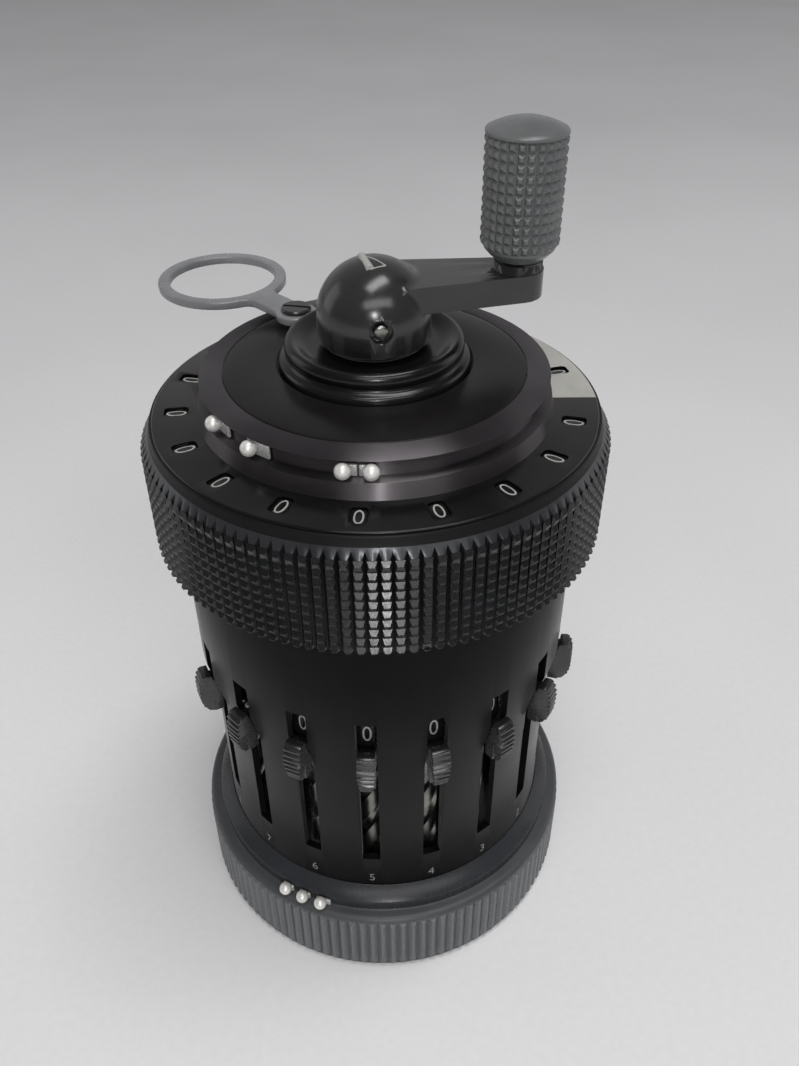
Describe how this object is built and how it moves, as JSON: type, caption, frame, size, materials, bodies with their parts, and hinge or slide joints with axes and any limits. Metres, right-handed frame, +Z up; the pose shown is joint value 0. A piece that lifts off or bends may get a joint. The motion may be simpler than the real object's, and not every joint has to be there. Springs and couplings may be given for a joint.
{
  "type": "mechanical pocket calculator",
  "caption": "Cylindrical hand-cranked mechanical calculator with setting sliders on its side, a turning digit carriage, a crank with a knurled handle and a finger loop.",
  "frame": {"origin": "on the main axis, at the middle of the flat rest face", "axes": "+Z up along the main axis; -Y faces the front, where the middle setting slider is; +X to the right"},
  "size_m": [0.0537, 0.0539, 0.1042],
  "materials": {
    "black_enamel": "satin black enamel",
    "black_gloss": "semi-gloss black enamel",
    "black_metal": "glossy black enamel",
    "black_handle": "knurled, satin",
    "black_slider": "ribbed, satin black",
    "aluminium": "machined",
    "steel": "turned and polished",
    "shaft_steel": "bright lands with dark grooves",
    "dial_black": "black with white digits",
    "marker_steel": "satin silver"
  },
  "bodies": {
    "body": {"base_ring": "black_enamel", "base_plate": "black_enamel", "body_sleeve": "black_enamel", "lower_bearing_plate": "aluminium", "upper_bearing_plate": "aluminium", "transmission_shafts": "steel", "top_collar": "black_gloss"},
    "lever": {"reversing_lever": "steel"},
    "ratchet": {"ratchet_wheel": "steel"},
    "crank": {"main_shaft": "steel", "step_drum": "aluminium", "crank_arm": "black_metal", "cross_pin": "steel"},
    "handle": {"crank_handle": "black_handle"},
    "bush": {"carriage_bush": "aluminium"},
    "carriage": {"carriage_ring": "black_enamel", "dial_cover": "black_gloss", "dial_frame": "aluminium"},
    "clearing": {"clearing_disc": "black_gloss"},
    "loop": {"clearing_loop": "black_metal"},
    "setting_slider_1_body": {"setting_slider_1": "black_slider"},
    "setting_slider_2_body": {"setting_slider_2": "black_slider"},
    "setting_slider_3_body": {"setting_slider_3": "black_slider"},
    "setting_slider_4_body": {"setting_slider_4": "black_slider"},
    "setting_slider_5_body": {"setting_slider_5": "black_slider"},
    "setting_slider_6_body": {"setting_slider_6": "black_slider"},
    "setting_slider_7_body": {"setting_slider_7": "black_slider"},
    "setting_slider_8_body": {"setting_slider_8": "black_slider"},
    "setting_shaft_1_body": {"setting_shaft_1": "shaft_steel"},
    "setting_shaft_2_body": {"setting_shaft_2": "shaft_steel"},
    "setting_shaft_3_body": {"setting_shaft_3": "shaft_steel"},
    "setting_shaft_4_body": {"setting_shaft_4": "shaft_steel"},
    "setting_shaft_5_body": {"setting_shaft_5": "shaft_steel"},
    "setting_shaft_6_body": {"setting_shaft_6": "shaft_steel"},
    "setting_shaft_7_body": {"setting_shaft_7": "shaft_steel"},
    "setting_shaft_8_body": {"setting_shaft_8": "shaft_steel"},
    "result_dial_1_body": {"result_dial_1": "dial_black"},
    "result_dial_2_body": {"result_dial_2": "dial_black"},
    "result_dial_3_body": {"result_dial_3": "dial_black"},
    "result_dial_4_body": {"result_dial_4": "dial_black"},
    "result_dial_5_body": {"result_dial_5": "dial_black"},
    "result_dial_6_body": {"result_dial_6": "dial_black"},
    "result_dial_7_body": {"result_dial_7": "dial_black"},
    "result_dial_8_body": {"result_dial_8": "dial_black"},
    "result_dial_9_body": {"result_dial_9": "dial_black"},
    "result_dial_10_body": {"result_dial_10": "dial_black"},
    "result_dial_11_body": {"result_dial_11": "dial_black"},
    "counter_dial_1_body": {"counter_dial_1": "dial_black"},
    "counter_dial_2_body": {"counter_dial_2": "dial_black"},
    "counter_dial_3_body": {"counter_dial_3": "dial_black"},
    "counter_dial_4_body": {"counter_dial_4": "dial_black"},
    "counter_dial_5_body": {"counter_dial_5": "dial_black"},
    "counter_dial_6_body": {"counter_dial_6": "dial_black"},
    "top_marker_1_body": {"top_marker_1": "marker_steel"},
    "top_marker_2_body": {"top_marker_2": "marker_steel"},
    "top_marker_3_body": {"top_marker_3": "marker_steel"},
    "top_marker_4_body": {"top_marker_4": "marker_steel"},
    "base_marker_1_body": {"base_marker_1": "marker_steel"},
    "base_marker_2_body": {"base_marker_2": "marker_steel"},
    "base_marker_3_body": {"base_marker_3": "marker_steel"}
  },
  "joints": [
    {"name": "crank_turn", "type": "hinge", "parent": "body", "child": "ratchet", "pos_m": [0, 0, 0], "axis": [0, 0, 1], "continuous": true},
    {"name": "crank_lift", "type": "slide", "parent": "ratchet", "child": "crank", "axis": [0, 0, 1], "range_m": [0, 0.003]},
    {"name": "handle_spin", "type": "hinge", "parent": "crank", "child": "handle", "pos_m": [0.01523, 0.00225, 0.0901], "axis": [0, 0, 1], "continuous": true},
    {"name": "carriage_lift", "type": "slide", "parent": "body", "child": "bush", "axis": [0, 0, 1], "range_m": [0, 0.003]},
    {"name": "carriage_turn", "type": "hinge", "parent": "bush", "child": "carriage", "pos_m": [0, 0, 0], "axis": [0, 0, 1], "range_deg": [0, 100]},
    {"name": "clearing_turn", "type": "hinge", "parent": "carriage", "child": "clearing", "pos_m": [0, 0, 0], "axis": [0, 0, 1], "continuous": true},
    {"name": "loop_fold", "type": "hinge", "parent": "clearing", "child": "loop", "pos_m": [-0.00928, 0.00938, 0.0799], "axis": [0, 0, 1], "range_deg": [0, 95]},
    {"name": "lever_slide", "type": "slide", "parent": "body", "child": "lever", "axis": [0, 0, 1], "range_m": [0, 0.004]},
    {"name": "slider_1_set", "type": "slide", "parent": "body", "child": "setting_slider_1_body", "axis": [0, 0, -1], "range_m": [0, 0.018]},
    {"name": "slider_2_set", "type": "slide", "parent": "body", "child": "setting_slider_2_body", "axis": [0, 0, -1], "range_m": [0, 0.018]},
    {"name": "slider_3_set", "type": "slide", "parent": "body", "child": "setting_slider_3_body", "axis": [0, 0, -1], "range_m": [0, 0.018]},
    {"name": "slider_4_set", "type": "slide", "parent": "body", "child": "setting_slider_4_body", "axis": [0, 0, -1], "range_m": [0, 0.018]},
    {"name": "slider_5_set", "type": "slide", "parent": "body", "child": "setting_slider_5_body", "axis": [0, 0, -1], "range_m": [0, 0.018]},
    {"name": "slider_6_set", "type": "slide", "parent": "body", "child": "setting_slider_6_body", "axis": [0, 0, -1], "range_m": [0, 0.018]},
    {"name": "slider_7_set", "type": "slide", "parent": "body", "child": "setting_slider_7_body", "axis": [0, 0, -1], "range_m": [0, 0.018]},
    {"name": "slider_8_set", "type": "slide", "parent": "body", "child": "setting_slider_8_body", "axis": [0, 0, -1], "range_m": [0, 0.018]},
    {"name": "shaft_1_turn", "type": "hinge", "parent": "body", "child": "setting_shaft_1_body", "pos_m": [0.01849, -0.00437, 0.0104], "axis": [0, 0, 1], "range_deg": [-1, 325]},
    {"name": "shaft_2_turn", "type": "hinge", "parent": "body", "child": "setting_shaft_2_body", "pos_m": [0.01588, -0.01043, 0.0104], "axis": [0, 0, 1], "range_deg": [-1, 325]},
    {"name": "shaft_3_turn", "type": "hinge", "parent": "body", "child": "setting_shaft_3_body", "pos_m": [0.01135, -0.01523, 0.0104], "axis": [0, 0, 1], "range_deg": [-1, 325]},
    {"name": "shaft_4_turn", "type": "hinge", "parent": "body", "child": "setting_shaft_4_body", "pos_m": [0.00546, -0.0182, 0.0104], "axis": [0, 0, 1], "range_deg": [-1, 325]},
    {"name": "shaft_5_turn", "type": "hinge", "parent": "body", "child": "setting_shaft_5_body", "pos_m": [-0.00109, -0.01897, 0.0104], "axis": [0, 0, 1], "range_deg": [-1, 325]},
    {"name": "shaft_6_turn", "type": "hinge", "parent": "body", "child": "setting_shaft_6_body", "pos_m": [-0.00752, -0.01745, 0.0104], "axis": [0, 0, 1], "range_deg": [-1, 325]},
    {"name": "shaft_7_turn", "type": "hinge", "parent": "body", "child": "setting_shaft_7_body", "pos_m": [-0.01303, -0.01383, 0.0104], "axis": [0, 0, 1], "range_deg": [-1, 325]},
    {"name": "shaft_8_turn", "type": "hinge", "parent": "body", "child": "setting_shaft_8_body", "pos_m": [-0.01697, -0.00854, 0.0104], "axis": [0, 0, 1], "range_deg": [-1, 325]},
    {"name": "result_dial_1_turn", "type": "hinge", "parent": "carriage", "child": "result_dial_1_body", "pos_m": [0.0216, -0.00511, 0.0711], "axis": [0.9732, -0.23, 0], "continuous": true},
    {"name": "result_dial_2_turn", "type": "hinge", "parent": "carriage", "child": "result_dial_2_body", "pos_m": [0.01855, -0.01219, 0.0711], "axis": [0.8358, -0.549, 0], "continuous": true},
    {"name": "result_dial_3_turn", "type": "hinge", "parent": "carriage", "child": "result_dial_3_body", "pos_m": [0.01327, -0.0178, 0.0711], "axis": [0.5976, -0.8018, 0], "continuous": true},
    {"name": "result_dial_4_turn", "type": "hinge", "parent": "carriage", "child": "result_dial_4_body", "pos_m": [0.00638, -0.02126, 0.0711], "axis": [0.2874, -0.9578, 0], "continuous": true},
    {"name": "result_dial_5_turn", "type": "hinge", "parent": "carriage", "child": "result_dial_5_body", "pos_m": [-0.00128, -0.02216, 0.0711], "axis": [-0.0576, -0.9983, 0], "continuous": true},
    {"name": "result_dial_6_turn", "type": "hinge", "parent": "carriage", "child": "result_dial_6_body", "pos_m": [-0.00878, -0.02039, 0.0711], "axis": [-0.3955, -0.9184, 0], "continuous": true},
    {"name": "result_dial_7_turn", "type": "hinge", "parent": "carriage", "child": "result_dial_7_body", "pos_m": [-0.01523, -0.01616, 0.0711], "axis": [-0.6858, -0.7278, 0], "continuous": true},
    {"name": "result_dial_8_turn", "type": "hinge", "parent": "carriage", "child": "result_dial_8_body", "pos_m": [-0.01983, -0.00997, 0.0711], "axis": [-0.8934, -0.4493, 0], "continuous": true},
    {"name": "result_dial_9_turn", "type": "hinge", "parent": "carriage", "child": "result_dial_9_body", "pos_m": [-0.02205, -0.00259, 0.0711], "axis": [-0.9932, -0.1167, 0], "continuous": true},
    {"name": "result_dial_10_turn", "type": "hinge", "parent": "carriage", "child": "result_dial_10_body", "pos_m": [-0.0216, 0.00511, 0.0711], "axis": [-0.9732, 0.23, 0], "continuous": true},
    {"name": "result_dial_11_turn", "type": "hinge", "parent": "carriage", "child": "result_dial_11_body", "pos_m": [-0.01855, 0.01219, 0.0711], "axis": [-0.8358, 0.549, 0], "continuous": true},
    {"name": "counter_dial_1_turn", "type": "hinge", "parent": "carriage", "child": "counter_dial_1_body", "pos_m": [0.02126, 0.00638, 0.0711], "axis": [0.9578, 0.2874, 0], "continuous": true},
    {"name": "counter_dial_2_turn", "type": "hinge", "parent": "carriage", "child": "counter_dial_2_body", "pos_m": [0.0178, 0.01327, 0.0711], "axis": [0.8018, 0.5976, 0], "continuous": true},
    {"name": "counter_dial_3_turn", "type": "hinge", "parent": "carriage", "child": "counter_dial_3_body", "pos_m": [0.01219, 0.01855, 0.0711], "axis": [0.549, 0.8358, 0], "continuous": true},
    {"name": "counter_dial_4_turn", "type": "hinge", "parent": "carriage", "child": "counter_dial_4_body", "pos_m": [0.00511, 0.0216, 0.0711], "axis": [0.23, 0.9732, 0], "continuous": true},
    {"name": "counter_dial_5_turn", "type": "hinge", "parent": "carriage", "child": "counter_dial_5_body", "pos_m": [-0.00259, 0.02205, 0.0711], "axis": [-0.1167, 0.9932, 0], "continuous": true},
    {"name": "counter_dial_6_turn", "type": "hinge", "parent": "carriage", "child": "counter_dial_6_body", "pos_m": [-0.00997, 0.01983, 0.0711], "axis": [-0.4493, 0.8934, 0], "continuous": true},
    {"name": "top_marker_1_slide", "type": "hinge", "parent": "carriage", "child": "top_marker_1_body", "pos_m": [0, 0, 0], "axis": [0, 0, 1], "range_deg": [-12, 6]},
    {"name": "top_marker_2_slide", "type": "hinge", "parent": "carriage", "child": "top_marker_2_body", "pos_m": [0, 0, 0], "axis": [0, 0, 1], "range_deg": [-6, 15]},
    {"name": "top_marker_3_slide", "type": "hinge", "parent": "carriage", "child": "top_marker_3_body", "pos_m": [0, 0, 0], "axis": [0, 0, 1], "range_deg": [-14, 0]},
    {"name": "top_marker_4_slide", "type": "hinge", "parent": "carriage", "child": "top_marker_4_body", "pos_m": [0, 0, 0], "axis": [0, 0, 1], "range_deg": [0, 20]},
    {"name": "base_marker_1_slide", "type": "hinge", "parent": "body", "child": "base_marker_1_body", "pos_m": [0, 0, 0], "axis": [0, 0, 1], "range_deg": [-40, 0]},
    {"name": "base_marker_2_slide", "type": "hinge", "parent": "body", "child": "base_marker_2_body", "pos_m": [0, 0, 0], "axis": [0, 0, 1], "range_deg": [-0.6, 0.6]},
    {"name": "base_marker_3_slide", "type": "hinge", "parent": "body", "child": "base_marker_3_body", "pos_m": [0, 0, 0], "axis": [0, 0, 1], "range_deg": [0, 40]}
  ],
  "couplings": [
    {"joint": "shaft_1_turn", "follows": "slider_1_set", "rad_per_m": 314.16},
    {"joint": "shaft_2_turn", "follows": "slider_2_set", "rad_per_m": 314.16},
    {"joint": "shaft_3_turn", "follows": "slider_3_set", "rad_per_m": 314.16},
    {"joint": "shaft_4_turn", "follows": "slider_4_set", "rad_per_m": 314.16},
    {"joint": "shaft_5_turn", "follows": "slider_5_set", "rad_per_m": 314.16},
    {"joint": "shaft_6_turn", "follows": "slider_6_set", "rad_per_m": 314.16},
    {"joint": "shaft_7_turn", "follows": "slider_7_set", "rad_per_m": 314.16},
    {"joint": "shaft_8_turn", "follows": "slider_8_set", "rad_per_m": 314.16}
  ]
}
